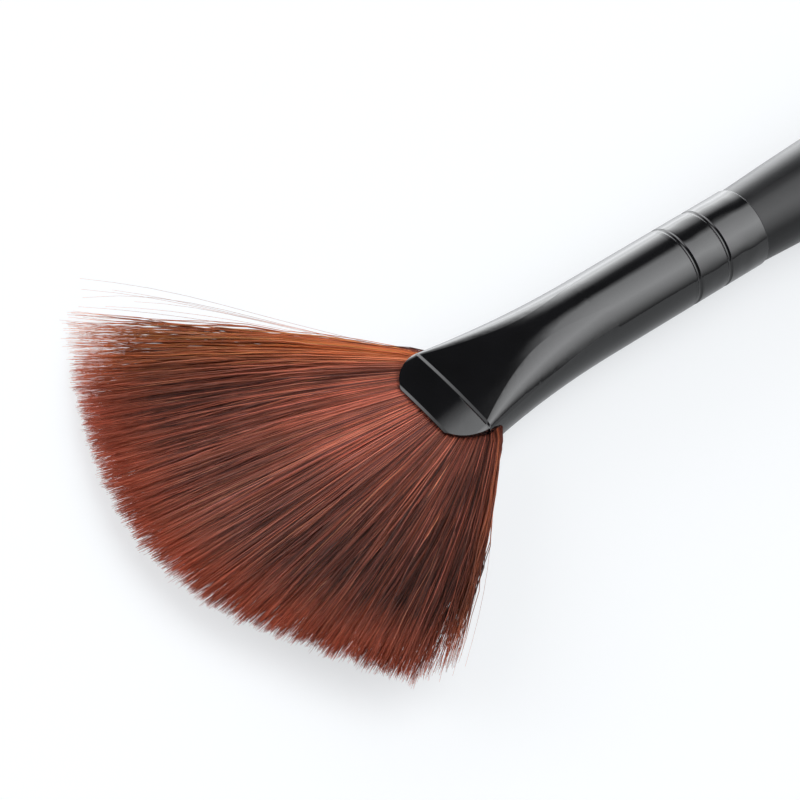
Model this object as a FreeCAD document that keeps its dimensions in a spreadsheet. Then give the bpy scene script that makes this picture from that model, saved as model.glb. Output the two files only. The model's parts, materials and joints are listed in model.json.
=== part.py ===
"""Fan makeup brush: a turned handle, a flattened tube ferrule, a fan of hair and the glue inside.

The brush is drawn about its own axis: X runs along the handle towards the hair, Z is up through the
flat of the fan, and x = 0 is the rear edge of the ferrule.  It is then laid down as it rests on a
table, with the origin under the middle of its box.  All sizes are in millimetres and degrees.
"""
import FreeCAD, Part
import math
import os

import Sketcher

os.makedirs("parts", exist_ok=True)
doc = FreeCAD.newDocument("fan_brush")

SIZES = {
    # ferrule, a thin tube pressed flat at its front end
    "tube_radius": 4.3,
    "wall": 0.35,
    "edge_round": 0.12,
    "flatten_start": 20.0,
    "flatten_power": 1.9,
    "press_spread": 0.75,
    "crease_from_rear": 38.0,
    "crease_half_height": 2.15,
    "crease_crown_angle": 5.0,
    "crease_side_angle": 80.0,
    "crease_corner_radius": 0.8,
    "crimp_step": 0.2,
    "ferrule_length": 41.8,
    "mouth_half_height": 1.4,
    "lip_turn": 0.2,
    "lip_half_width": 5.75,
    "lip_corner_radius": 3.9,
    "slot_end": 36.3,
    "slot_half_height": 0.75,
    "ring_front": 9.3,
    "ring_rear": 5.2,
    "ring_half_width": 0.3,
    "ring_depth": 0.15,
    # turned handle
    "neck_radius": 4.15,
    "belly_radius": 5.0,
    "belly_front": 28.0,
    "belly_rear": 44.0,
    "handle_length": 107.5,
    "tail_radius": 2.7,
    "tail_round": 2.5,
    "tenon_length": 14.0,
    "tenon_chamfer": 0.5,
    # clearances between the pieces
    "seat_gap": 0.03,
    "hair_gap": 0.05,
    # hair
    "fan_centre": 31.9,
    "fan_half_angle": 45.0,
    "fan_start_radius": 5.4,
    "fan_lip_half": 0.62,
    "fan_middle_radius": 22.0,
    "fan_middle_half": 0.85,
    "fan_tip_half": 0.6,
    "front_trim": 3.6,
    "spread_length": 9.0,
    "spread_half_angle": 38.0,
    "thin_side_share": 0.7,
    "front_centre_x": 35.3,
    "front_centre_y": -3.7,
    "front_radius": 37.4,
    "lock_count": 24,
    "lock_start_radius": 13.0,
    "lock_valley_width": 0.9,
    "lock_valley_depth": 0.32,
    "tip_notch_count": 21,
    "tip_notch_depth": 1.8,
    "tip_notch_width": 1.0,
    "tip_span_half_angle": 46.0,
}

dims = doc.addObject("Spreadsheet::Sheet", "dims")
for row, (alias, value) in enumerate(SIZES.items(), start=1):
    dims.set(f"A{row}", alias.replace("_", " "))
    dims.set(f"B{row}", str(value))
    dims.setAlias(f"B{row}", alias)
doc.recompute()


def value_in(owner, rule):
    """The present value of an expression that may name the owner's own properties."""
    value = owner.evalExpression(rule)
    return float(getattr(value, "Value", value))


def number(rule):
    return value_in(dims, rule)


def new_body(name):
    body = doc.addObject("PartDesign::Body", name)
    body.Label = name
    return body


def new_sketch(body, name, plane, along="0", base=("0", "0"), turn="0", turn_axis=(0, 0, 1)):
    """A sketch on one of the body's planes, moved in the plane by base and off it by along."""
    sketch = body.newObject("Sketcher::SketchObject", name)
    origin_plane = next(item for item in body.Origin.OriginFeatures if item.Role == plane)
    sketch.AttachmentSupport = [(origin_plane, "")]
    sketch.MapMode = "FlatFace"
    sketch.AttachmentOffset = FreeCAD.Placement(
        FreeCAD.Vector(0, 0, 0), FreeCAD.Rotation(FreeCAD.Vector(*turn_axis), number(turn))
    )
    sketch.setExpression("AttachmentOffset.Base.x", base[0])
    sketch.setExpression("AttachmentOffset.Base.y", base[1])
    sketch.setExpression("AttachmentOffset.Base.z", along)
    sketch.setExpression("AttachmentOffset.Rotation.Angle", turn)
    return sketch


def closed_outline(sketch, corners, radii):
    """Draw a closed outline through corners (x rule, y rule).

    radii gives the arcs: edge number -> (radius rule, side), where side is +1 for an arc whose centre
    is on the left of its edge and -1 for one on the right.  The other edges are straight.
    """
    sketch.recompute()
    points = [
        FreeCAD.Vector(value_in(sketch, x_rule), value_in(sketch, y_rule), 0)
        for x_rule, y_rule in corners
    ]
    ends = []
    for edge, start in enumerate(points):
        finish = points[(edge + 1) % len(points)]
        if edge not in radii:
            index = sketch.addGeometry(Part.LineSegment(start, finish), False)
            ends.append(((index, 1), (index, 2)))
            continue
        radius_rule, side = radii[edge]
        radius = value_in(sketch, radius_rule)
        chord = finish - start
        left = FreeCAD.Vector(-chord.y, chord.x, 0).normalize()
        reach = math.sqrt(max(radius**2 - (chord.Length / 2) ** 2, 0.0))
        centre = (start + finish) * 0.5 + left * (side * reach)
        first, last = (start, finish) if side > 0 else (finish, start)
        angles = [math.atan2(point.y - centre.y, point.x - centre.x) for point in (first, last)]
        circle = Part.Circle(centre, FreeCAD.Vector(0, 0, 1), radius)
        index = sketch.addGeometry(Part.ArcOfCircle(circle, angles[0], angles[1]), False)
        ends.append(((index, 1), (index, 2)) if side > 0 else ((index, 2), (index, 1)))
        constraint = sketch.addConstraint(Sketcher.Constraint("Radius", index, radius))
        sketch.setExpression(f"Constraints[{constraint}]", radius_rule)
    for edge, (start_end, finish_end) in enumerate(ends):
        next_start = ends[(edge + 1) % len(ends)][0]
        sketch.addConstraint(Sketcher.Constraint("Coincident", *finish_end, *next_start))
        for kind, rule, value in (
            ("DistanceX", corners[edge][0], points[edge].x),
            ("DistanceY", corners[edge][1], points[edge].y),
        ):
            constraint = sketch.addConstraint(Sketcher.Constraint(kind, *start_end, value))
            sketch.setExpression(f"Constraints[{constraint}]", rule)
    return sketch


# Where the arcs of the round tube's section meet, and how fast the crowns close in as it is pressed.
ROUND_CROWN_ANGLE = 30
ROUND_SIDE_ANGLE = 60
CROWN_POWER = 6


def oval_outline(sketch, rules):
    """Draw an oval of eight tangent arcs: two crowns, four corners and two sides.

    The crowns end CrownAngle from the upright, and the sides begin SideAngle from it.
    """
    for prop, rule in rules.items():
        sketch.addProperty("App::PropertyFloat", prop, "Section")
        setattr(sketch, prop, value_in(sketch, rule))
        sketch.setExpression(prop, rule)
    crown_across = ".CrownRadius * sin(.CrownAngle)"
    crown_up = ".HalfHeight - .CrownRadius * (1 - cos(.CrownAngle))"
    side_across = ".HalfWidth - .SideRadius * (1 - sin(.SideAngle))"
    side_up = ".SideRadius * cos(.SideAngle)"
    corners = [
        (crown_across, crown_up),
        (f"-({crown_across})", crown_up),
        (f"-({side_across})", side_up),
        (f"-({side_across})", f"-({side_up})"),
        (f"-({crown_across})", f"-({crown_up})"),
        (crown_across, f"-({crown_up})"),
        (side_across, f"-({side_up})"),
        (side_across, side_up),
    ]
    crown, corner, side = (".CrownRadius", 1), (".CornerRadius", 1), (".SideRadius", 1)
    return closed_outline(sketch, corners, dict(enumerate((crown, corner, side, corner) * 2)))


def pressed_section(body, name, station, half_height, inset="0"):
    """Section of the flattened tube, or of a shape a little inside it.

    Pressed is 0 where the tube is still round and 1 from the crease on.  As it grows, the crowns
    turn into nearly flat faces, the corners get tighter and the sheet spreads sideways.  The crown's
    and the side's radii are those that make the three arcs meet in line.
    """
    crown_weight = "cos(.SideAngle) * sin(.CrownAngle)"
    side_weight = "(1 - cos(.CrownAngle)) * (1 - sin(.SideAngle))"
    rules = {
        "TubeHalfHeight": half_height,
        "TubeHalfWidth": "dims.tube_radius + dims.press_spread * (dims.tube_radius - .TubeHalfHeight)",
        "Pressed": "min((dims.tube_radius - .TubeHalfHeight)"
        " / (dims.tube_radius - dims.crease_half_height); 1)",
        "CrownAngle": "dims.crease_crown_angle"
        f" + ({ROUND_CROWN_ANGLE} - dims.crease_crown_angle) * pow(1 - .Pressed; {CROWN_POWER})",
        "SideAngle": f"{ROUND_SIDE_ANGLE} + (dims.crease_side_angle - {ROUND_SIDE_ANGLE}) * .Pressed",
        "TubeCornerRadius": "dims.tube_radius"
        " - (dims.tube_radius - dims.crease_corner_radius) * .Pressed",
        "HeightLeft": ".TubeHalfHeight - .TubeCornerRadius * (cos(.CrownAngle) - cos(.SideAngle))",
        "WidthLeft": ".TubeHalfWidth - .TubeCornerRadius * (sin(.SideAngle) - sin(.CrownAngle))",
        "Share": f"{crown_weight} - {side_weight}",
        "CrownRadius": "(cos(.SideAngle) * .WidthLeft - (1 - sin(.SideAngle)) * .HeightLeft) / .Share"
        f" - ({inset})",
        "SideRadius": "(sin(.CrownAngle) * .HeightLeft - (1 - cos(.CrownAngle)) * .WidthLeft) / .Share"
        f" - ({inset})",
        "CornerRadius": f".TubeCornerRadius - ({inset})",
        "HalfHeight": f".TubeHalfHeight - ({inset})",
        "HalfWidth": f".TubeHalfWidth - ({inset})",
    }
    return oval_outline(new_sketch(body, name, "YZ_Plane", along=station), rules)


def thin_section(body, name, station, half_height, half_width):
    """Section of a thin spread of hair: nearly flat faces and rounded sides."""
    rules = {
        "HalfHeight": half_height,
        "HalfWidth": half_width,
        "SideRadius": ".HalfHeight * dims.thin_side_share",
        "CornerRadius": ".SideRadius",
        "CentreAcross": ".HalfWidth - .SideRadius",
        "CentreDrop": "(pow(.CentreAcross; 2) - pow(.HalfHeight - .SideRadius; 2))"
        " / (2 * (.HalfHeight - .SideRadius))",
        "CrownRadius": ".HalfHeight + .CentreDrop",
        "CrownAngle": "atan(.CentreAcross / .CentreDrop)",
        "SideAngle": str(ROUND_SIDE_ANGLE),
    }
    return oval_outline(new_sketch(body, name, "YZ_Plane", along=station), rules)


def pressed_half_height(share):
    """Half-height of the tube at a share of the way from where the flattening starts to the crease."""
    drop = "(dims.tube_radius - dims.crease_half_height)"
    return f"dims.tube_radius - {drop} * pow({share}; dims.flatten_power)"


def loft(body, kind, name, sketches, ruled):
    feature = body.newObject(f"PartDesign::{kind}", name)
    feature.Profile = sketches[0]
    feature.Sections = sketches[1:]
    feature.Ruled = ruled
    return feature


FLATTENING_STEPS = 6
TONGUE_REAR = ("dims.crease_from_rear + dims.crimp_step", "dims.crease_half_height - dims.crimp_step")
MOUTH = ("dims.ferrule_length", "dims.mouth_half_height")
TURNED_LIP = (
    ("dims.ferrule_length - dims.lip_turn", "dims.mouth_half_height"),
    ("dims.ferrule_length", "dims.mouth_half_height - dims.lip_turn"),
)


def flattened_lofts(body, kind, name, inset, front=(MOUTH,)):
    """The pressed stretch of the tube as a smooth loft, then the crimped tongue as a ruled one."""
    pressed = []
    for step in range(FLATTENING_STEPS + 1):
        share = f"{step} / {FLATTENING_STEPS}"
        station = f"dims.flatten_start + (dims.crease_from_rear - dims.flatten_start) * {share}"
        half_height = pressed_half_height(share)
        pressed.append(pressed_section(body, f"{name}_section_{step}", station, half_height, inset))
    loft(body, kind, f"{name}_pressed", pressed, ruled=False)
    tongue = [
        pressed_section(body, f"{name}_tongue_{place}", station, half_height, inset)
        for place, (station, half_height) in enumerate((TONGUE_REAR, *front))
    ]
    return loft(body, kind, f"{name}_tongue", [pressed[-1]] + tongue, ruled=True)


def turned(body, name, corners, radii):
    """A piece turned about the X axis from a profile of (x rule, radius rule) corners."""
    sketch = closed_outline(new_sketch(body, f"{name}_profile", "XZ_Plane"), corners, radii)
    feature = body.newObject("PartDesign::Revolution", f"{name}_turned")
    feature.Profile = sketch
    feature.ReferenceAxis = (sketch, ["H_Axis"])
    feature.Angle = 360
    return feature


# Two rings are rolled into the tube to grip the tenon: a fine arc outside, and the same arc a wall
# further out inside, which stands into the bore.  The tenon has the same rings, a gap deeper.
RING_RADIUS = "(pow(dims.ring_half_width; 2) + pow(dims.ring_depth; 2)) / (2 * dims.ring_depth)"


def ring_half_width(offset):
    """Half-width of the ring's arc where it is offset inward by the wall or the wall and the gap."""
    return f"sqrt(2 * ({RING_RADIUS} + {offset}) * dims.ring_depth - pow(dims.ring_depth; 2))"


def ringed_line(radius, offset, rings):
    """Corners and arcs of a straight turned line with the rolled rings in it, in the rings' order."""
    corners = []
    arcs = {}
    forwards = rings[0] == "ring_rear"
    before, after = ("-", "+") if forwards else ("+", "-")
    for ring in rings:
        arcs[len(corners)] = (f"{RING_RADIUS} + {offset}", 1 if forwards else -1)
        corners.append((f"dims.{ring} {before} {ring_half_width(offset)}", radius))
        corners.append((f"dims.{ring} {after} {ring_half_width(offset)}", radius))
    return corners, arcs


def joined(*runs):
    """Put runs of corners and arcs end to end."""
    corners = []
    arcs = {}
    for run_corners, run_arcs in runs:
        arcs.update({edge + len(corners): arc for edge, arc in run_arcs.items()})
        corners.extend(run_corners)
    return corners, arcs


FRONT_TO_REAR = ("ring_front", "ring_rear")
REAR_TO_FRONT = ("ring_rear", "ring_front")

# Ferrule: a drawn aluminium tube, ringed and rounded at its rear edge, pressed flat over the hair.
ferrule = new_body("ferrule")
inner_radius = "dims.tube_radius - dims.wall"
edge_arc = ("dims.edge_round", 1)
corners, arcs = joined(
    ([("dims.flatten_start", inner_radius), ("dims.flatten_start", "dims.tube_radius")], {}),
    ringed_line("dims.tube_radius", "0", FRONT_TO_REAR),
    (
        [
            ("dims.edge_round", "dims.tube_radius"),
            ("0", "dims.tube_radius - dims.edge_round"),
            ("0", f"{inner_radius} + dims.edge_round"),
            ("dims.edge_round", inner_radius),
        ],
        {0: edge_arc, 2: edge_arc},
    ),
    ringed_line(inner_radius, "dims.wall", REAR_TO_FRONT),
)
turned(ferrule, "tube", corners, arcs)
flattened_lofts(ferrule, "AdditiveLoft", "outside", "0", front=TURNED_LIP)
flattened_lofts(ferrule, "SubtractiveLoft", "inside", "dims.wall")

# The sides of the tongue are notched so that the two lips close on the hair.
slot = closed_outline(
    new_sketch(ferrule, "side_slot_outline", "XZ_Plane"),
    [
        ("dims.slot_end + dims.slot_half_height", "dims.slot_half_height"),
        ("dims.slot_end", "0"),
        ("dims.slot_end + dims.slot_half_height", "-dims.slot_half_height"),
        ("dims.ferrule_length + dims.wall", "-dims.slot_half_height"),
        ("dims.ferrule_length + dims.wall", "dims.slot_half_height"),
    ],
    {0: ("dims.slot_half_height", 1), 1: ("dims.slot_half_height", 1)},
)
slot_cut = ferrule.newObject("PartDesign::Pocket", "side_slots")
slot_cut.Profile = slot
slot_cut.Type = "ThroughAll"
slot_cut.Midplane = True

# The lips' corners are stamped round in plan.
corner_centre_x = "dims.crease_from_rear + dims.crimp_step"
corner_centre_y = "(dims.lip_half_width - dims.lip_corner_radius)"
for side_name, mirror in (("left", "-"), ("right", "")):
    turn_side = 1 if mirror else -1
    corner = closed_outline(
        new_sketch(ferrule, f"lip_corner_{side_name}_outline", "XY_Plane"),
        [
            (corner_centre_x, f"{mirror}dims.lip_half_width"),
            (f"{corner_centre_x} + dims.lip_corner_radius", f"{mirror}{corner_centre_y}"),
            (f"{corner_centre_x} + 2 * dims.lip_corner_radius", f"{mirror}{corner_centre_y}"),
            (f"{corner_centre_x} + 2 * dims.lip_corner_radius", f"{mirror}2 * dims.lip_half_width"),
            (corner_centre_x, f"{mirror}2 * dims.lip_half_width"),
        ],
        {0: ("dims.lip_corner_radius", turn_side)},
    )
    corner_cut = ferrule.newObject("PartDesign::Pocket", f"lip_corner_{side_name}")
    corner_cut.Profile = corner
    corner_cut.Type = "ThroughAll"
    corner_cut.Midplane = True

# Handle: one turned piece of wood, with a ringed tenon in the ferrule, a short straight belly where
# it balances in the fingers, and a long taper to a rounded tail.
handle = new_body("handle")
tenon_radius = f"{inner_radius} - dims.seat_gap"
tenon_offset = "dims.wall + dims.seat_gap"
shoulder_drop = "(dims.belly_radius - dims.neck_radius)"
shoulder_run = "(dims.belly_front - dims.seat_gap)"
taper_drop = "(dims.belly_radius - dims.tail_radius)"
taper_run = "(dims.handle_length - dims.tail_round - dims.belly_rear)"
tail_arc_radius = (
    "(pow(dims.tail_round; 2) + pow(dims.tail_radius; 2)) / (2 * dims.tail_round)"
)
corners, arcs = joined(
    (
        [
            ("dims.tenon_length", "0"),
            ("dims.tenon_length", f"{tenon_radius} - dims.tenon_chamfer"),
            ("dims.tenon_length - dims.tenon_chamfer", tenon_radius),
        ],
        {},
    ),
    ringed_line(tenon_radius, tenon_offset, FRONT_TO_REAR),
    (
        [
            ("-dims.seat_gap", tenon_radius),
            ("-dims.seat_gap", "dims.neck_radius"),
            ("-dims.belly_front", "dims.belly_radius"),
            ("-dims.belly_rear", "dims.belly_radius"),
            ("dims.tail_round - dims.handle_length", "dims.tail_radius"),
            ("-dims.handle_length", "0"),
        ],
        {
            1: (f"(pow({shoulder_run}; 2) + pow({shoulder_drop}; 2)) / (2 * {shoulder_drop})", 1),
            3: (f"(pow({taper_run}; 2) + pow({taper_drop}; 2)) / (2 * {taper_drop})", 1),
            4: (tail_arc_radius, 1),
        },
    ),
)
turned(handle, "handle", corners, arcs)

# Glue plug: the adhesive poured over the ends of the hair, set hard between them and the tenon.
glue_plug = new_body("glue_plug")
turned(
    glue_plug,
    "plug",
    [
        ("dims.tenon_length + dims.seat_gap", "0"),
        ("dims.flatten_start - dims.seat_gap", "0"),
        ("dims.flatten_start - dims.seat_gap", tenon_radius),
        ("dims.tenon_length + dims.seat_gap", tenon_radius),
    ],
    {},
)

# Hair: the root fills the pressed end of the ferrule, leaves it between the lips and through the
# side slots, and spreads flat about one centre, parted into locks with uneven tips.
tuft = new_body("bristle_tuft")
hair_inset = "dims.wall + dims.hair_gap"
flattened_lofts(tuft, "AdditiveLoft", "root", hair_inset)
spread_end = "dims.ferrule_length + dims.spread_length"
spread = [
    pressed_section(tuft, "spread_rear", *MOUTH, hair_inset),
    thin_section(
        tuft,
        "spread_front",
        spread_end,
        half_height="dims.fan_middle_half",
        half_width=f"({spread_end} - dims.fan_centre) * tan(dims.spread_half_angle)",
    ),
]
loft(tuft, "AdditiveLoft", "spread", spread, ruled=True)

lip_radius = "dims.ferrule_length - dims.fan_centre"
# The hair is set longer than the cut front, which then trims it all the way across.
FAN_REACH = (
    "(dims.front_radius + dims.front_trim"
    " + sqrt(pow(dims.front_centre_x - dims.fan_centre; 2) + pow(dims.front_centre_y; 2)))"
)
fan_profile = closed_outline(
    new_sketch(tuft, "fan_profile", "XZ_Plane", base=("dims.fan_centre", "0")),
    [
        ("dims.fan_start_radius", "-dims.fan_lip_half"),
        (lip_radius, "-dims.fan_lip_half"),
        ("dims.fan_middle_radius", "-dims.fan_middle_half"),
        (FAN_REACH, "-dims.fan_tip_half"),
        (FAN_REACH, "dims.fan_tip_half"),
        ("dims.fan_middle_radius", "dims.fan_middle_half"),
        (lip_radius, "dims.fan_lip_half"),
        ("dims.fan_start_radius", "dims.fan_lip_half"),
    ],
    {},
)
fan = tuft.newObject("PartDesign::Revolution", "fan")
fan.Profile = fan_profile
fan.ReferenceAxis = (fan_profile, ["V_Axis"])
fan.Midplane = True
fan.setExpression("Angle", "2 * dims.fan_half_angle")

# The tips lie on an arc of their own, so the fan is a little longer on one side.
front = closed_outline(
    new_sketch(tuft, "front_outline", "XY_Plane", base=("dims.front_centre_x", "dims.front_centre_y")),
    [
        ("0", "dims.front_radius"),
        ("dims.front_radius", "0"),
        ("0", "-dims.front_radius"),
        ("0", f"-2 * {FAN_REACH}"),
        (f"2 * {FAN_REACH}", f"-2 * {FAN_REACH}"),
        (f"2 * {FAN_REACH}", f"2 * {FAN_REACH}"),
        ("0", f"2 * {FAN_REACH}"),
    ],
    {0: ("dims.front_radius", -1), 1: ("dims.front_radius", -1)},
)
front_cut = tuft.newObject("PartDesign::Pocket", "front")
front_cut.Profile = front
front_cut.Type = "ThroughAll"
front_cut.Midplane = True

# Between the locks the tips stand back a little, in notches that point at the arc's own centre.
notch_outline = closed_outline(
    new_sketch(
        tuft,
        "tip_notch_outline",
        "XY_Plane",
        base=("dims.front_centre_x", "dims.front_centre_y"),
        turn="-dims.tip_span_half_angle",
    ),
    [
        ("dims.front_radius - dims.tip_notch_depth", "0"),
        ("dims.front_radius + dims.tip_notch_depth", "-dims.tip_notch_width"),
        ("dims.front_radius + dims.tip_notch_depth", "dims.tip_notch_width"),
    ],
    {},
)
notch = tuft.newObject("PartDesign::Pocket", "tip_notch")
notch.Profile = notch_outline
notch.Type = "ThroughAll"
notch.Midplane = True
notches = tuft.newObject("PartDesign::PolarPattern", "tip_notches")
notches.Originals = [notch]
notches.Axis = (notch_outline, ["N_Axis"])
notches.setExpression("Angle", "2 * dims.tip_span_half_angle")
notches.setExpression("Occurrences", "dims.tip_notch_count")
tuft.Tip = notches


def valley_section(name, radius, width, depth, side):
    """A V across the fan's face at one radius, on the first lock's side line."""
    first_angle = "-dims.fan_half_angle + dims.fan_half_angle / dims.lock_count"
    shift = "0" if side > 0 else "dims.fan_half_angle / dims.lock_count"
    angle = f"{first_angle} + {shift}"
    sketch = new_sketch(
        tuft,
        name,
        "YZ_Plane",
        along=f"dims.fan_centre + ({radius}) * cos({angle})",
        base=(f"({radius}) * sin({angle})", "0"),
        turn=angle,
        turn_axis=(0, 1, 0),
    )
    face = "dims.fan_middle_half"
    sign = "" if side > 0 else "-"
    outline = [
        (f"-({width}) / 2", f"{sign}({face})"),
        ("0", f"{sign}({face} - ({depth}))"),
        (f"({width}) / 2", f"{sign}({face})"),
        (f"({width}) / 2", f"{sign}({face} + dims.wall)"),
        (f"-({width}) / 2", f"{sign}({face} + dims.wall)"),
    ]
    return closed_outline(sketch, outline, {})


centre_mark = new_sketch(tuft, "fan_centre_mark", "XY_Plane", base=("dims.fan_centre", "0"))
for side_name, side in (("top", 1), ("under", -1)):
    valley = loft(
        tuft,
        "SubtractiveLoft",
        f"valley_{side_name}",
        [
            valley_section(
                f"valley_{side_name}_rear",
                "dims.lock_start_radius",
                "dims.lock_valley_width / 6",
                "dims.lock_valley_depth / 6",
                side,
            ),
            valley_section(
                f"valley_{side_name}_front",
                FAN_REACH,
                "dims.lock_valley_width",
                "dims.lock_valley_depth + dims.fan_middle_half - dims.fan_tip_half",
                side,
            ),
        ],
        ruled=True,
    )
    valleys = tuft.newObject("PartDesign::PolarPattern", f"valleys_{side_name}")
    valleys.Originals = [valley]
    valleys.Axis = (centre_mark, ["N_Axis"])
    valleys.setExpression("Angle", "2 * dims.fan_half_angle * (1 - 1 / dims.lock_count)")
    valleys.setExpression("Occurrences", "dims.lock_count" if side > 0 else "dims.lock_count - 1")
    tuft.Tip = valleys

PIECES = [handle, ferrule, glue_plug, tuft]


LYING_FINENESS = 0.02


def check_pieces():
    for item in doc.Objects:
        faults = {"Invalid", "Error"} & set(item.State)
        if faults:
            raise RuntimeError(f"{item.Label} did not build: {faults}")
    for piece in PIECES:
        if piece.Shape.isNull() or not piece.Shape.isValid() or len(piece.Shape.Solids) != 1:
            raise RuntimeError(f"{piece.Label} is not one valid solid")


def lowest(points, turn):
    return min(turn.multVec(point).z for point in points)


def level_angle(turn_at, falling, standing, limit):
    """Angle, up to limit, at which the falling points come as low as the standing ones."""
    low, high = 0.0, limit
    while high - low > 1e-5:
        angle = (low + high) / 2
        turn = turn_at(angle)
        if lowest(falling, turn) > lowest(standing, turn):
            low = angle
        else:
            high = angle
    return high


def lying_turn():
    """How the brush lies on a table: on its belly, on the ferrule and on the heavier corner of the fan.

    The brush tips forward over its belly until the round tube comes down, and then rolls about its
    own axis until the corner of the fan does.
    """
    hair, wood, tube = (piece.Shape.tessellate(LYING_FINENESS)[0] for piece in (tuft, handle, ferrule))
    heavy_side = 1 if tuft.Shape.Solids[0].CenterOfMass.y < 0 else -1

    def tipped(angle):
        return FreeCAD.Rotation(FreeCAD.Vector(0, 1, 0), angle)

    tilt = tipped(level_angle(tipped, tube, wood, 20.0))

    def rolled(angle):
        return tilt.multiply(FreeCAD.Rotation(FreeCAD.Vector(heavy_side, 0, 0), angle))

    return rolled(level_angle(rolled, hair, tube, 45.0))


doc.recompute()
check_pieces()
laid = FreeCAD.Placement(FreeCAD.Vector(0, 0, 0), lying_turn())
box = FreeCAD.BoundBox()
for piece in PIECES:
    shape = piece.Shape.copy()
    shape.Placement = laid
    box.add(shape.optimalBoundingBox(False, False))
laid.Base = FreeCAD.Vector(-(box.XMin + box.XMax) / 2, -(box.YMin + box.YMax) / 2, -box.ZMin)
for piece in PIECES:
    piece.Placement = laid
doc.recompute()
check_pieces()
for piece in PIECES:
    piece.Shape.exportStep(f"parts/{piece.Label}.step")
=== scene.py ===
import json
import math

import bpy
import numpy as np
from mathutils import Euler, Matrix, Vector


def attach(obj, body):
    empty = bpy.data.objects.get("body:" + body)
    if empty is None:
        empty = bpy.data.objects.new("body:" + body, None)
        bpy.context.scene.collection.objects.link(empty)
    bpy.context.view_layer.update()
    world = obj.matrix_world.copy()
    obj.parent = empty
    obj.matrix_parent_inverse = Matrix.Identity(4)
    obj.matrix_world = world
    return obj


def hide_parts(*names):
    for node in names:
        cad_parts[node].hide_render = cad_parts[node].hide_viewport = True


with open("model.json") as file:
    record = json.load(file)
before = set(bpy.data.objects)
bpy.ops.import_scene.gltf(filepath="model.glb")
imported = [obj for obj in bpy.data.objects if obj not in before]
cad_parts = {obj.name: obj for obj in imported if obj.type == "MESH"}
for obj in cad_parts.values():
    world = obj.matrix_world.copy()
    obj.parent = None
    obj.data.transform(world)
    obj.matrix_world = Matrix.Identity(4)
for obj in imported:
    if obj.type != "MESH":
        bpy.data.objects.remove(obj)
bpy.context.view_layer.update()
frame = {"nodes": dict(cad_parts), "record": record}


# Handle: a turned wooden stick, sprayed with satin black lacquer. A pale wood core shows nowhere.
# Its front end is a tenon glued into the tube of the ferrule. Its belly lies on the table, so the
# whole brush tips a little on to the ferrule and rolls until one corner of the fan lies down.
grip = frame["record"]["mounts"][0]
grip_from_ferrule = 0.036
brush_tip_over = math.asin(grip["axis"][2])
brush_roll = math.radians(5.786)
brush_turn = Matrix.Rotation(brush_tip_over, 3, "Y") @ Matrix.Rotation(brush_roll, 3, "X")
ferrule_rear = Vector(grip["pos_m"]) + brush_turn @ Vector((grip_from_ferrule, 0, 0))


def laid(points):
    """Places on the table, from places along the brush, measured from its ferrule's rear edge."""
    return np.asarray(points) @ np.array(brush_turn).T + np.array(ferrule_rear)


class Finish:
    """One procedural finish: a Principled shader and the nodes that lead to it."""

    def __init__(self, name):
        self.material = bpy.data.materials.new(name)
        self.material.use_nodes = True
        self.nodes = self.material.node_tree.nodes
        self.shader = self.nodes["Principled BSDF"]
        self.output = self.nodes["Material Output"]

    def add(self, kind, feeds=(), **settings):
        """A node, with its settings, whose numbered or named sockets are fed from other nodes."""
        node = self.nodes.new(kind)
        for key, value in settings.items():
            setattr(node, key, value)
        for socket, source in dict(feeds).items():
            self.feed(source, node.inputs[socket])
        return node

    def feed(self, source, socket):
        """Another node's output, or a plain number or colour, into a socket."""
        if isinstance(source, bpy.types.NodeSocket):
            self.material.node_tree.links.new(source, socket)
        else:
            socket.default_value = source

    def along_brush(self, stretch=(1, 1, 1)):
        """Metres along and across the brush itself, so that turned marks follow it."""
        place = self.add("ShaderNodeTexCoord").outputs["Object"]
        square = self.add("ShaderNodeMapping", {0: place}, vector_type="TEXTURE")
        square.inputs["Location"].default_value = ferrule_rear
        square.inputs["Rotation"].default_value = brush_turn.to_euler()
        return self.add("ShaderNodeMapping", {0: square.outputs[0], "Scale": stretch}).outputs[0]

    def noise(self, where, scale, detail=3, rough=0.55):
        """A cloudy number of about scale clouds to the metre."""
        feeds = {"Vector": where, "Scale": scale, "Detail": detail, "Roughness": rough}
        return self.add("ShaderNodeTexNoise", feeds).outputs["Fac"]

    def spread(self, source, low, high, start=0.3, end=0.7):
        """A number that runs from low to high as the source runs from start to end."""
        feeds = {"Value": source, "From Min": start, "From Max": end, "To Min": low, "To Max": high}
        return self.add("ShaderNodeMapRange", feeds).outputs[0]

    def blend(self, share, first, second):
        mix = self.add("ShaderNodeMix", data_type="RGBA")
        for place, value in zip((0, 6, 7), (share, first, second)):
            self.feed(value, mix.inputs[place])
        return mix.outputs[2]

    def sum(self, operation, *numbers):
        return self.add("ShaderNodeMath", enumerate(numbers), operation=operation).outputs[0]

    def relief(self, height, depth, over=None):
        """A bump of that depth in metres over the relief given before."""
        bump = self.add("ShaderNodeBump", {"Height": height, "Distance": depth})
        if over:
            self.feed(over, bump.inputs["Normal"])
        return bump.outputs["Normal"]

    def set(self, **numbers):
        """Numbers and sources for the shader's own sockets."""
        for key, value in numbers.items():
            self.feed(value, self.shader.inputs[key.replace("_", " ")])


def wear(node, finish):
    """Puts a finish on a part that comes from the frame."""
    part = frame["nodes"][node]
    part.data.materials.clear()
    part.data.materials.append(finish.material)


lacquer_black = (0.005, 0.005, 0.006, 1)
lacquer_rubbed = (0.011, 0.011, 0.012, 1)
lacquer_roughness = (0.28, 0.37)
rubs_per_metre = 160
sheens_per_metre = 420
grain_per_metre = 90
grain_stretch = (1, 14, 14)
grain_depth = 0.000012
spray_per_metre = 2600
spray_depth = 0.000006

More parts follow.
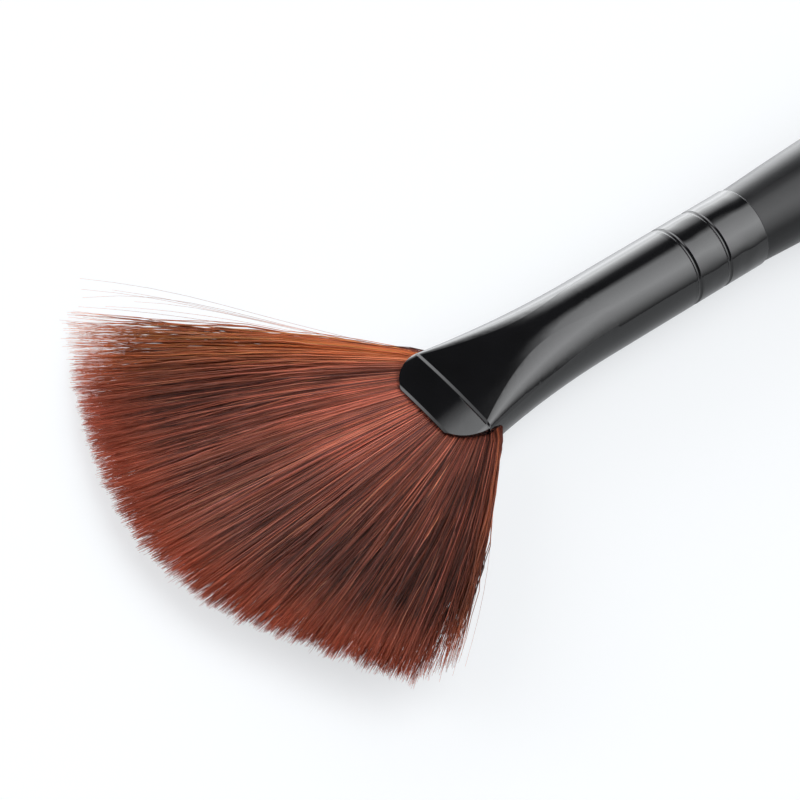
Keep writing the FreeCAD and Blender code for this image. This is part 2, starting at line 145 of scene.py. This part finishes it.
lacquer = Finish("satin_black_lacquer")
stick = lacquer.along_brush()
turning = lacquer.along_brush(grain_stretch)
rubbed = lacquer.spread(lacquer.noise(stick, rubs_per_metre, 4), 0, 1)
sheen = lacquer.spread(lacquer.noise(stick, sheens_per_metre, 5), *lacquer_roughness)
grain = lacquer.relief(lacquer.noise(turning, grain_per_metre, 4), grain_depth)
spray = lacquer.relief(lacquer.noise(stick, spray_per_metre, 2), spray_depth, grain)
lacquer.set(Base_Color=lacquer.blend(rubbed, lacquer_black, lacquer_rubbed),
            Roughness=sheen, Normal=spray,
            IOR=1.34, Coat_Weight=1.0, Coat_IOR=1.28, Coat_Roughness=0.28)
wear("handle", lacquer)


# Ferrule: one length of thin aluminium tube, with two pairs of rolled rings that grip the tenon.
# Its front is pressed flat into a stepped tongue with rounded lips, slotted at the sides, and the
# whole is anodised and lacquered gloss black.
gloss_black = (0.0025, 0.0025, 0.003, 1)
gloss_black_hazed = (0.005, 0.005, 0.006, 1)
gloss_roughness = (0.09, 0.15)
gloss_per_metre = 300
haze_per_metre = 130
rolled_zone_end = 0.0088
rolled_zone_fade = 0.0012
rolled_waves_per_metre = 270
rolled_wave_depth = 0.00016
pressed_waves_per_metre = 110
pressed_wave_depth = 0.00014
orange_peel_per_metre = 900
orange_peel_depth = 0.000004
tongue_crease = 0.0383
crease_fade = 0.00002
lip_roll_from = 0.0008
lip_roll_to = 0.0058
lip_roll_depth = 0.00058

enamel = Finish("gloss_black_ferrule")
tube = enamel.along_brush()
hazed = enamel.spread(enamel.noise(tube, haze_per_metre, 4), 0, 1)
gloss = enamel.spread(enamel.noise(tube, gloss_per_metre, 5), *gloss_roughness)
on_tube = enamel.add("ShaderNodeSeparateXYZ", {0: tube}).outputs
rolled_down = enamel.spread(on_tube["Y"], 0, 1, lip_roll_from, lip_roll_to)
before_crease = enamel.spread(on_tube["X"], 0, -1, tongue_crease, tongue_crease + crease_fade)
lip_roll = enamel.sum("MULTIPLY", enamel.sum("POWER", rolled_down, 2.0), before_crease)
domed = enamel.relief(lip_roll, lip_roll_depth)
pressed_waves = enamel.noise(tube, pressed_waves_per_metre, 1)
pressed = enamel.relief(pressed_waves, pressed_wave_depth, domed)
by_the_rings = enamel.spread(on_tube["X"], 1, 0,
                             rolled_zone_end, rolled_zone_end + rolled_zone_fade)
rolled_waves = enamel.noise(tube, rolled_waves_per_metre, 1)
rolled = enamel.relief(enamel.sum("MULTIPLY", rolled_waves, by_the_rings),
                       rolled_wave_depth, pressed)
peel = enamel.noise(tube, orange_peel_per_metre, 2)
orange_peel = enamel.relief(peel, orange_peel_depth, rolled)
enamel.set(Base_Color=enamel.blend(hazed, gloss_black, gloss_black_hazed),
           Roughness=gloss, Normal=orange_peel, Coat_Normal=orange_peel,
           IOR=1.48, Coat_Weight=1.0, Coat_IOR=1.43, Coat_Roughness=0.07)
wear("ferrule", enamel)


# Glue plug: the set adhesive that fills the tube behind the hair and holds the roots together.
# It was poured in wet, so it has a skin with small lumps, and it is amber where it is thick.
glue_amber = (0.50, 0.38, 0.20, 1)
glue_pale = (0.66, 0.55, 0.34, 1)
glue_patches_per_metre = 700
glue_lumps_per_metre = 1500
glue_lump_depth = 0.00003

adhesive = Finish("set_adhesive")
blob = adhesive.along_brush()
thickness = adhesive.noise(blob, glue_patches_per_metre, 4)
lumps = adhesive.noise(blob, glue_lumps_per_metre, 3)
adhesive.set(Base_Color=adhesive.blend(thickness, glue_amber, glue_pale),
             Normal=adhesive.relief(lumps, glue_lump_depth), Roughness=0.38)
wear("glue_plug", adhesive)


# Hair: some twelve thousand fine synthetic hairs, dyed reddish brown and tapered at the tips. Their
# roots are glued in the tube; the pressed mouth spreads them sideways, out through the slots too,
# into a flat fan. They cling together in locks, and their tips were cut to a curve.
hair_layers = 5
hairs_in_layer = 2350
hair_radius = 0.000047
hair_tip_radius = 0.000012
above_table = 0.00002
stations_in_fan = 11
station_crowding = 0.9
root_x = np.array((0.0203, 0.0300))
root_half_width = np.array((0.0031, 0.0036))
root_half_height = np.array((0.0031, 0.0026))
fan_centre_x = 0.0319
fan_start = 0.0054
slot_reach = 0.0073
mouth_reach = 0.0099
fan_turn = math.radians(-1.2)
edge_angle = math.radians(45.0)
edge_flare = 0.17
thickness_reaches = (fan_start, mouth_reach, 0.020, 0.044)
half_thickness = (0.00100, 0.00078, 0.00105, 0.00070)
thinner_at_side = 0.25
cut_angles = np.radians((-47, -40, -30, -22, -7, 7, 20, 30, 38, 44))
cut_reaches = np.array((0.0438, 0.0423, 0.0412, 0.0408, 0.0407,
                        0.0399, 0.0380, 0.0376, 0.0380, 0.0350))
draw = np.random.default_rng(41)


def smooth_step(value, start, end):
    share = np.clip((value - start) / (end - start), 0, 1)
    return share * share * (3 - 2 * share)


def lock_waves(count, narrowest, widest, wander):
    """Waves across the fan by which hairs lie in locks: turns across, drift along, and start."""
    width = np.exp(draw.uniform(math.log(narrowest), math.log(widest), count))
    return 2 * math.pi / width, draw.normal(0, wander, count), draw.uniform(0, 2 * math.pi, count)


def ripple(swing, waves, angle, share):
    """The sum of the waves at an angle of the fan and a share of a hair's length."""
    swing = np.broadcast_to(swing, waves[0].shape)[:, None, None]
    across, along, start = (part[:, None, None] for part in waves)
    return (swing * np.sin(across * angle + along * share + start)).sum(0)


def fan_places(radius, angle, height):
    """Places at a distance and angle from the fan's centre, and above its middle plane."""
    flat = [fan_centre_x + radius * np.cos(angle), radius * np.sin(angle)]
    return np.stack([*flat, height], -1)


def hair_paths(side, level, length, gather, ridges, stray):
    """Middle lines of hairs, root to tip. side and level run from -1 to 1, across and through."""
    side, level = side[:, None], level[:, None]
    share = np.linspace(0, 1, stations_in_fan)[None, :] ** station_crowding
    radius = fan_start + (length[:, None] - fan_start) * share
    flare = 1 + edge_flare * (1 - share) ** 1.2 * smooth_step(radius, fan_start, slot_reach)
    angle = fan_turn + edge_angle * side * flare
    free = 0.60 + 0.40 * share - 0.35 * smooth_step(share, 0.7, 1)
    free = free * smooth_step(share, 0.02, 0.45)
    angle = angle + free * ripple(*gather, angle, share)
    angle = angle + stray[0][:, None] * share * np.sin(2.2 * share + stray[1][:, None])
    at_side = 1 - thinner_at_side * smooth_step(np.abs(side), 0.5, 1.0)
    height = level * at_side * np.interp(radius, thickness_reaches, half_thickness)
    height = height + free * ripple(*ridges, angle, share)
    height = height + stray[2][:, None] * share * np.sin(3.0 * share + stray[3][:, None])

    round_off = np.sqrt(1 - 0.55 * np.clip(side, -1, 1) ** 2)
    tube = [root_x + 0 * side, root_half_width * side, root_half_height * level * round_off]
    return np.concatenate([np.stack(tube, -1), fan_places(radius, angle, height)], 1)


def hair_tints(stations, tint, tip_tint):
    """Colours along hairs: a slow drift, a painted shade past the middle, and a lighter dyed tip.
    """
    count = len(tint)
    share = np.linspace(0, 1, stations)[None, :]
    ripe = smooth_step(share, 0.84, 1.0)[:, :, None]
    drift = np.sin(draw.uniform(4, 11, (count, 1)) * share + draw.uniform(0, 6.3, (count, 1)))
    drift = (1 + 0.16 * drift)[:, :, None]
    # Painted shade past the middle of each hair, standing in for less light falling on the fan's
    # outer part.
    painted_shade_along = 1 - 0.40 * smooth_step(share, 0.38, 0.74)[:, :, None]
    return tint[:, None, :] * drift * painted_shade_along * (1 - ripe) + tip_tint[:, None, :] * ripe


def hair_map(count, stations, corner, step):
    """A place on the map for each side and each end of each hair, in one small tile a hair."""
    columns = math.ceil(math.sqrt(count * 2))
    rows = math.ceil(count / columns)
    hair = np.arange(count)
    left = (hair % columns) / columns
    foot = (hair // columns) / rows
    wide, tall = 0.9 / columns, 0.9 / rows
    u0 = left[:, None, None] + wide * (corner + 0.0) / 3
    u1 = left[:, None, None] + wide * (corner + 1.0) / 3
    v0 = foot[:, None, None] + tall * (0.05 + 0.9 * step / 3 / (stations - 1)) + 0 * corner
    v1 = foot[:, None, None] + tall * (0.05 + 0.9 * (step / 3 + 1) / (stations - 1)) + 0 * corner
    u0, u1 = u0 + 0 * v0, u1 + 0 * v0
    side_map = np.stack([np.stack([u0, v0], -1), np.stack([u1, v0], -1),
                         np.stack([u1, v1], -1), np.stack([u0, v1], -1)], -2)
    cap = np.array([(0, 0), (1, 0), (0.5, 1)]) * (wide, tall * 0.03)
    root_map = np.stack([left, foot], -1)[:, None] + cap
    tip_map = np.stack([left, foot + tall * 0.96], -1)[:, None] + cap
    return np.concatenate([places.reshape(-1, 2) for places in (side_map, root_map, tip_map)])


def hair_tubes(name, paths, root_radius, tint, tip_tint):
    """Three-sided tubes along the hairs, closed at both ends, each with its tint and map place."""
    count, stations = paths.shape[:2]
    along = np.gradient(paths, axis=1)
    along /= np.linalg.norm(along, axis=2, keepdims=True)
    sideways = np.cross(along, np.array([0.0, 0.0, 1.0]))
    sideways /= np.linalg.norm(sideways, axis=2, keepdims=True)
    above = np.cross(sideways, along)
    taper = 1 - smooth_step(np.linspace(0, 1, stations)[None, :], 0.76, 1.0)
    thick = hair_tip_radius + (root_radius[:, None] - hair_tip_radius) * taper
    turns = draw.uniform(0, 2 * math.pi, count)[:, None, None] + np.arange(3) * 2 * math.pi / 3
    ring = (np.cos(turns)[..., None] * sideways[:, :, None, :]
            + np.sin(turns)[..., None] * above[:, :, None, :])
    points = laid((paths[:, :, None, :] + thick[:, :, None, None] * ring).reshape(-1, 3))
    points[:, 2] = np.maximum(points[:, 2], above_table)

    first = (np.arange(count) * stations * 3)[:, None, None]
    step = (np.arange(stations - 1) * 3)[None, :, None]
    corner = np.arange(3)[None, None, :]
    after = (corner + 1) % 3
    low, high = first + step, first + step + 3
    sides = np.stack([low + corner, low + after, high + after, high + corner], -1).reshape(-1, 4)
    root = np.arange(count)[:, None] * stations * 3
    tip = root + (stations - 1) * 3
    ends = np.concatenate([root + (2, 1, 0), tip + (0, 1, 2)])

    mesh = bpy.data.meshes.new(name)
    mesh.vertices.add(len(points))
    mesh.vertices.foreach_set("co", points.astype(np.float32).ravel())
    loops = np.concatenate([sides.ravel(), ends.ravel()])
    mesh.loops.add(len(loops))
    mesh.loops.foreach_set("vertex_index", loops.astype(np.int32))
    starts = np.concatenate([np.arange(len(sides)) * 4, sides.size + np.arange(len(ends)) * 3])
    mesh.polygons.add(len(starts))
    mesh.polygons.foreach_set("loop_start", starts.astype(np.int32))
    mesh.polygons.foreach_set("use_smooth", np.ones(len(starts), bool))

    layer = mesh.uv_layers.new(name="OFBake")
    places = hair_map(count, stations, corner, step)
    layer.uv.foreach_set("vector", places.astype(np.float32).ravel())

    colours = mesh.color_attributes.new("hair_tint", "FLOAT_COLOR", "POINT")
    spread = np.repeat(hair_tints(stations, tint, tip_tint).reshape(-1, 3), 3, axis=0)
    solid = np.concatenate([spread, np.ones((len(points), 1))], 1)
    colours.data.foreach_set("color", solid.astype(np.float32).ravel())
    mesh.update(calc_edges=True)
    mesh.validate()
    return mesh


dye_patches_per_metre = 260
dye_patchiness = (0.88, 1.12)


def hair_dye(name, see_through):
    """Dyed hair, which lets some of the light from behind it through."""
    dye = Finish(name)
    tinted = dye.add("ShaderNodeVertexColor", layer_name="hair_tint").outputs["Color"]
    patches = dye.noise(dye.along_brush(), dye_patches_per_metre, 2)
    patchy = dye.spread(patches, *dye_patchiness)
    dyed = dye.add("ShaderNodeVectorMath", {0: tinted, "Scale": patchy}, operation="SCALE")
    dye.set(Base_Color=dyed.outputs[0], Roughness=0.40, IOR=1.45)
    glow = dye.add("ShaderNodeBsdfTranslucent", {"Color": dyed.outputs[0]})
    feeds = {0: see_through, 1: dye.shader.outputs[0], 2: glow.outputs[0]}
    lets_through = dye.add("ShaderNodeMixShader", feeds)
    dye.feed(lets_through.outputs[0], dye.output.inputs["Surface"])
    return dye


def add_hair(name, dye, paths, thick, tint, tip_tint):
    tuft = bpy.data.objects.new(name, hair_tubes(name, paths, thick, tint, tip_tint))
    bpy.context.scene.collection.objects.link(tuft)
    tuft.data.materials.append(dye.material)
    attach(tuft, "root")
    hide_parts("bristle_tuft")


dense_hair = hair_dye("dyed_synthetic_hair", 0.26)
thin_hair = hair_dye("thinly_spread_hair", 0.14)

hair_brown = np.array((0.37, 0.098, 0.063))
hair_russet = np.array((0.54, 0.150, 0.078))
hair_plum = np.array((0.17, 0.056, 0.048))
# The orange is a painted glow, standing in for light shining through thin hair.
painted_glow_orange = np.array((0.90, 0.228, 0.070))
hair_tip = np.array((0.74, 0.170, 0.090))
brightest_dye = 0.92
# Painted light and shade across the fan: a brightness for each angle of the hairs, standing in for
# how the light falls on the fan's parts.
painted_shade_angles = np.radians((-46, -38, -27, -14, 2, 14, 26, 40, 45))
painted_shade_across = np.array((1.50, 0.97, 0.88, 1.74, 1.28, 0.87, 0.54, 0.58, 0.88))

# How many hairs each side of the fan keeps, from its long edge (-1) to its short edge (1).
long_edge_sides = (-1, -0.94, -0.85, -0.74, -0.58)
long_edge_keeps = (0.09, 0.14, 0.24, 0.50, 1)
short_edge_sides = (0.80, 0.90, 1)
short_edge_keeps = (1, 0.36, 0.08)

# How far the cut is from even, how hairs gather in locks, and how single hairs leave them.
ragged_swing = 0.010
tip_scatter = 0.0012
short_hairs = 0.26
short_by = 0.0046
lock_tightness = 0.50
ridge_height = 0.000065
lock_wander = 4.5
loose_hairs = 0.07
loose_factor = 4.0
stray_swing = 0.007
stray_lift = 0.00009

# How the dye differs from lock to lock and from hair to hair, the painted shade deep in the tuft,
# and the painted glow of the edge hairs.
streak_swing = 0.15
streak_scatter = 0.54
deep_painted_shade = 0.17
painted_shade_lift_to_faces = 0.93
plum_hairs = 0.16
plum_share = 0.7
shade_limits = (0.15, 2.6)
painted_glow_brightness = 1.30
glow_share_from = 0.35

# The outer hairs are the thin ones of the fan's long edge, tinted a brighter orange as a painted
# glow, in a piece of their own.
outer_hairs = []
for layer in range(hair_layers):
    everywhere = draw.uniform(-1, 1, hairs_in_layer * 2)
    dense = np.interp(everywhere, long_edge_sides, long_edge_keeps)
    dense *= np.interp(everywhere, short_edge_sides, short_edge_keeps)
    kept = draw.random(hairs_in_layer * 2) < dense
    side = everywhere[kept][:hairs_in_layer]
    count = len(side)
    level = (layer + draw.uniform(0, 1, count)) / hair_layers * 2 - 1
    angle = fan_turn + edge_angle * side

    length = np.interp(angle, cut_angles, cut_reaches)
    ragged = lock_waves(5, 0.02, 0.15, 0)
    length += ripple(ragged_swing / ragged[0], ragged, side[:, None], 0 * side[:, None])[:, 0]
    length -= np.abs(draw.normal(-0.0002, tip_scatter, count))
    length -= np.where(draw.random(count) < short_hairs, draw.uniform(0, short_by, count), 0)
    gather = lock_waves(7, 0.010, 0.085, lock_wander)
    ridges = lock_waves(5, 0.012, 0.060, lock_wander)
    loose = np.where(draw.random(count) < loose_hairs, loose_factor, 1.0)
    stray = (draw.normal(0, stray_swing, count) * loose, draw.uniform(0, 6.3, count),
             draw.normal(0, stray_lift, count) * loose, draw.uniform(0, 6.3, count))
    paths = hair_paths(side, level, length, (lock_tightness / gather[0], gather),
                       (ridge_height, ridges), stray)

    streaks = lock_waves(8, 0.006, 0.035, 0)
    shade = ripple(streak_swing, streaks, angle[:, None], 0 * angle[:, None])[:, 0]
    shade = np.exp(shade + draw.normal(0, streak_scatter, count))
    # Painted light and shade by the hair's angle across the fan.
    shade *= np.interp(angle, painted_shade_angles, painted_shade_across)
    # Painted shade deep in the tuft: hairs near its middle plane are darker, as if shaded by the
    # hairs above and below them.
    shade *= deep_painted_shade + painted_shade_lift_to_faces * np.abs(level)
    russet = (draw.random(count) ** 3)[:, None]
    plum = np.where(draw.random(count) < plum_hairs, plum_share, 0)[:, None]
    tint = hair_brown * (1 - russet) + hair_russet * russet
    tint = tint * (1 - plum) + hair_plum * plum
    # The edge hairs get a share of orange and lose the painted depth shade for a brighter one: a
    # painted glow standing in for light shining through them.
    glow_share = (1 - smooth_step(side, -0.95, -0.62))[:, None] * draw.uniform(0.55, 1, count)[:, None]
    glow_share += (0.6 * smooth_step(side, 0.90, 1.0) * draw.random(count))[:, None]
    shade = shade[:, None].clip(*shade_limits)
    shade += 0.8 * glow_share * (painted_glow_brightness * draw.lognormal(0, 0.25, (count, 1)) - shade)
    tint = ((tint * (1 - glow_share) + painted_glow_orange * glow_share) * shade).clip(0, brightest_dye)
    tip_tint = (hair_tip * (1 - glow_share) + painted_glow_orange * glow_share) * draw.lognormal(0, 0.22, (count, 1))
    tip_tint = tip_tint.clip(0, brightest_dye)

    thick = hair_radius * draw.uniform(0.8, 1.15, count)
    outer = glow_share[:, 0] > glow_share_from
    inner = [values[~outer] for values in (paths, thick, tint, tip_tint)]
    add_hair(f"hair_layer_{layer + 1}", dense_hair, *inner)
    outer_hairs.append([values[outer] for values in (paths, thick, tint, tip_tint)])

add_hair("outer_hairs", thin_hair, *(np.concatenate(values) for values in zip(*outer_hairs)))


# Stray hairs: a few single hairs that have sprung out past the fan's long edge and two beside its
# other edge. They are rooted in the mouth like the rest, and each is given by where its tip ends:
# its angle in degrees, its reach in millimetres and its height above the fan's middle.
stray_ends = ((-48.7, 42.4, 2.9), (-48.3, 38.9, 2.4), (-48.1, 42.2, 2.0), (-47.8, 36.5, 2.1),
              (-47.7, 41.8, 1.4), (-47.3, 40.2, 1.5), (-47.0, 42.4, 0.8),
              (44.6, 35.9, 0.1), (44.2, 36.6, 0.1))
stray_bow = math.radians(2.5)
stray_wave = math.radians(0.28)
stray_radius = 0.000017
edge_root_half_width = np.array((0.0030, 0.0034))


def edge_roots(outward):
    """The part of edge hairs that lies in the tube, at its far side from the fan's middle."""
    still = np.zeros((len(outward), 2))
    return np.stack([still + root_x, outward * edge_root_half_width, still], -1)


def stray_paths():
    """Middle lines of the stray hairs, which bow outwards and waver."""
    ends = np.array(stray_ends)
    jitter = draw.normal(0, 1, (len(ends), 4))
    share = np.linspace(0, 1, stations_in_fan)[None, :]
    outward = np.sign(ends[:, :1])
    last = np.radians(ends[:, :1] + 0.5 * jitter[:, :1])
    start = fan_turn + outward * edge_angle * (1 + edge_flare) * 0.97
    bend = outward * stray_bow * (1 + 0.4 * jitter[:, 1:2]) * np.sin(math.pi * share) * share
    wave = stray_wave * np.sin((7 + jitter[:, 3:]) * share + 3 * jitter[:, 2:3]) * share
    angle = start + (last - start) * share**0.6 + bend * (0.4 + 0.6 * (outward < 0)) + wave
    reach = ends[:, 1:2] / 1000 - 0.0009 * np.abs(jitter[:, 2:3])
    radius = slot_reach + (reach - slot_reach) * share
    height = ends[:, 2:] / 1000 * share**1.5 + 0.0002 * jitter[:, 3:] * np.sin(3 * share)
    return np.concatenate([edge_roots(outward), fan_places(radius, angle, height)], 1)


sprung = stray_paths()
# The stray hairs take the orange of the painted glow.
add_hair("stray_hairs", thin_hair, sprung, np.full(len(sprung), stray_radius),
         painted_glow_orange * draw.uniform(0.7, 1.1, (len(sprung), 1)),
         np.tile(painted_glow_orange, (len(sprung), 1)))


# Slot hairs: those that the pressed tube squeezes out through the round end of each slot. They
# bulge there in a small bundle before they lie down beside the fan's edge with the rest.
slot_hairs = 220
slot_bulge = math.radians(2.2)
bulge_reach = 0.0088
bulge_length = 0.0019
slot_half_height = 0.00062


def slot_paths():
    """Middle lines of the hairs that come out of the slots, on both sides of the fan."""
    outward = draw.choice((-1, 1), slot_hairs)[:, None]
    run = draw.uniform(0.15, 1, slot_hairs)[:, None]
    share = np.linspace(0, 1, stations_in_fan)[None, :]
    radius = fan_start + 0.0004 + (0.010 + 0.020 * run - fan_start) * share
    bulge = slot_bulge * np.exp(-((radius - bulge_reach) / bulge_length) ** 2)
    bulge = bulge * draw.uniform(0.1, 1, (slot_hairs, 1))
    flare = (1 - 0.75 * share) ** 1.2 * smooth_step(radius, fan_start, slot_reach)
    beside_edge = draw.uniform(0.94, 0.985, (slot_hairs, 1))
    angle = fan_turn + outward * (edge_angle * beside_edge * (1 + edge_flare * flare) + bulge)
    height = draw.uniform(-slot_half_height, slot_half_height, (slot_hairs, 1))
    height = height * (1 - 0.35 * share)
    return np.concatenate([edge_roots(outward), fan_places(radius, angle, height)], 1)


add_hair("slot_hairs", dense_hair, slot_paths(), np.full(slot_hairs, hair_radius),
         hair_brown * draw.lognormal(-0.25, 0.35, (slot_hairs, 1)),
         np.tile(hair_brown, (slot_hairs, 1)))


# Table: a plain white table, which keeps the brush's soft shadow and shows white. Its part behind
# the brush also glows,
# stronger than white, in glossy rays only: a painted reflection, so the black lacquer shows that
# part light and the part before the brush dark.
table_half = 1.5
table_white = (0.40, 0.405, 0.41, 1)
table_glow = (0.96, 0.98, 1, 1)
table_lift = 0.63
painted_reflection_before = 0.15
painted_reflection_behind = 2.6
painted_bright_part_ends = -0.028
painted_dim_part_starts = -0.006

table_finish = Finish("white_table")
seen = table_finish.add("ShaderNodeLightPath").outputs
straight = table_finish.sum("MAXIMUM", seen["Is Camera Ray"], seen["Is Transmission Ray"])
on_table = table_finish.add("ShaderNodeTexCoord").outputs["Object"]
from_front = table_finish.add("ShaderNodeSeparateXYZ", {0: on_table}).outputs["Y"]
# Painted reflection: the table glows for glossy rays only, strongly behind the brush and weakly
# before it.
painted_reflection = table_finish.spread(from_front, painted_reflection_behind, painted_reflection_before,
                                 painted_bright_part_ends, painted_dim_part_starts)
painted_reflection_in_gloss = table_finish.sum("MULTIPLY", seen["Is Glossy Ray"], painted_reflection)
lift = table_finish.sum("MULTIPLY_ADD", straight, table_lift, painted_reflection_in_gloss)
table_finish.set(Base_Color=table_white, Roughness=0.9, Specular_IOR_Level=0,
                 Emission_Color=table_glow, Emission_Strength=lift)

board = bpy.data.meshes.new("table")
corners = [(-table_half, -table_half, 0), (table_half, -table_half, 0),
           (table_half, table_half, 0), (-table_half, table_half, 0)]
board.from_pydata(corners, [], [(0, 1, 2, 3)])
table = bpy.data.objects.new("table", board)
bpy.context.scene.collection.objects.link(table)
board.materials.append(table_finish.material)


# Studio: a long softbox arches over the handle to the camera's side, a lit white sweep stands low
# behind the brush beyond a dark gap, and a white card stands past the tips. A weak light fills the
# rest of the room, which shows white where it is seen straight on.
half_turn = 180

# Brightness by the angle round the brush's length, in degrees from overhead towards the camera's
# side, and by the way along it, from towards the handle's tail (-1) to past the tips (1).
softbox_round = ((-180, 0), (-26, 0), (-18, 1.0), (-12, 2.0), (10, 2.7), (34, 3.4), (58, 2.1),
                 (74, 0.95), (88, 0.15), (100, 0))
softbox_along = ((-1, 0), (-0.78, 0), (-0.58, 1), (-0.18, 1), (0.05, 0.25), (0.25, 0), (1, 0))
sweep_round = ((-180, 0), (-100, 3.8), (-86, 3.6), (-73, 2.3), (-61, 1.1), (-50, 0.15), (-45, 0))
card_round = ((-180, 0), (-88, 0), (-70, 2.4), (-25, 2.4), (-8, 0))
card_along = ((-1, 0), (0.34, 0), (0.48, 1), (0.66, 1), (0.78, 0.35), (1, 0.35))
room_fill = 0.05
room_white = (0.97, 0.985, 1, 1)

room = bpy.data.worlds.new("studio")
bpy.context.scene.world = room
room.use_nodes = True
room_nodes, room_links = room.node_tree.nodes, room.node_tree.links


def room_math(operation, first, second):
    sum_node = room_nodes.new("ShaderNodeMath")
    sum_node.operation = operation
    for socket, value in zip(sum_node.inputs, (first, second)):
        if isinstance(value, bpy.types.NodeSocket):
            room_links.new(value, socket)
        else:
            socket.default_value = value
    return sum_node.outputs[0]


def room_profile(source, low, high, stops):
    """A brightness that follows the stops as the source runs from low to high."""
    share = room_nodes.new("ShaderNodeMapRange")
    share.inputs["From Min"].default_value = low
    share.inputs["From Max"].default_value = high
    room_links.new(source, share.inputs["Value"])
    ramp = room_nodes.new("ShaderNodeValToRGB")
    marks = ramp.color_ramp.elements
    ceiling = max(level for _, level in stops)
    while len(marks) < len(stops):
        marks.new(0.5)
    for mark, (place, level) in zip(marks, stops):
        mark.position = (place - low) / (high - low)
        grey = level / ceiling
        mark.color = (grey, grey, grey, 1)
    room_links.new(share.outputs[0], ramp.inputs[0])
    return room_math("MULTIPLY", ramp.outputs[0], ceiling)


direction = room_nodes.new("ShaderNodeTexCoord")
ways = room_nodes.new("ShaderNodeSeparateXYZ")
room_links.new(direction.outputs["Generated"], ways.inputs[0])
round_brush = room_math("ARCTAN2", ways.outputs["Y"], ways.outputs["Z"])
round_brush = room_math("MULTIPLY", round_brush, half_turn / math.pi)
softbox = room_math("MULTIPLY", room_profile(round_brush, -half_turn, half_turn, softbox_round),
                    room_profile(ways.outputs["X"], -1, 1, softbox_along))
sweep = room_profile(round_brush, -half_turn, half_turn, sweep_round)
card = room_math("MULTIPLY", room_profile(round_brush, -half_turn, half_turn, card_round),
                 room_profile(ways.outputs["X"], -1, 1, card_along))
lit = room_math("ADD", room_math("ADD", softbox, sweep), room_math("ADD", card, room_fill))
sight = room_nodes.new("ShaderNodeLightPath")
whiten = room_nodes.new("ShaderNodeMix")
whiten.data_type = "FLOAT"
room_links.new(sight.outputs["Is Camera Ray"], whiten.inputs["Factor"])
room_links.new(lit, whiten.inputs["A"])
whiten.inputs["B"].default_value = 1.0
backdrop = room_nodes["Background"]
backdrop.inputs["Color"].default_value = room_white
room_links.new(whiten.outputs["Result"], backdrop.inputs["Strength"])


# Camera: close over the fan on the side away from the handle's tail, looking down at the brush
# through a long lens, and rolled so that the ferrule rises to the right.
looked_at = Vector((0.05964, -0.00086, 0.0040))
camera_distance = 0.3008
camera_azimuth = math.radians(131.82)
camera_elevation = math.radians(54.00)
camera_roll = math.radians(11.90)
camera_lens = 140.2
sensor_width = 36
clip_distances = (0.01, 20)

backwards = Vector((math.sin(camera_azimuth) * math.cos(camera_elevation),
                    -math.cos(camera_azimuth) * math.cos(camera_elevation),
                    math.sin(camera_elevation)))
camera = bpy.data.objects.new("camera", bpy.data.cameras.new("camera"))
camera.data.lens = camera_lens
camera.data.sensor_width = sensor_width
camera.data.clip_start, camera.data.clip_end = clip_distances
camera.rotation_mode = "QUATERNION"
camera.location = looked_at + backwards * camera_distance
level_view = (-backwards).to_track_quat("-Z", "Y")
camera.rotation_quaternion = level_view @ Euler((0, 0, camera_roll)).to_quaternion()
bpy.context.scene.collection.objects.link(camera)
bpy.context.scene.camera = camera
bpy.context.scene.view_settings.view_transform = "Standard"

bpy.context.view_layer.update()
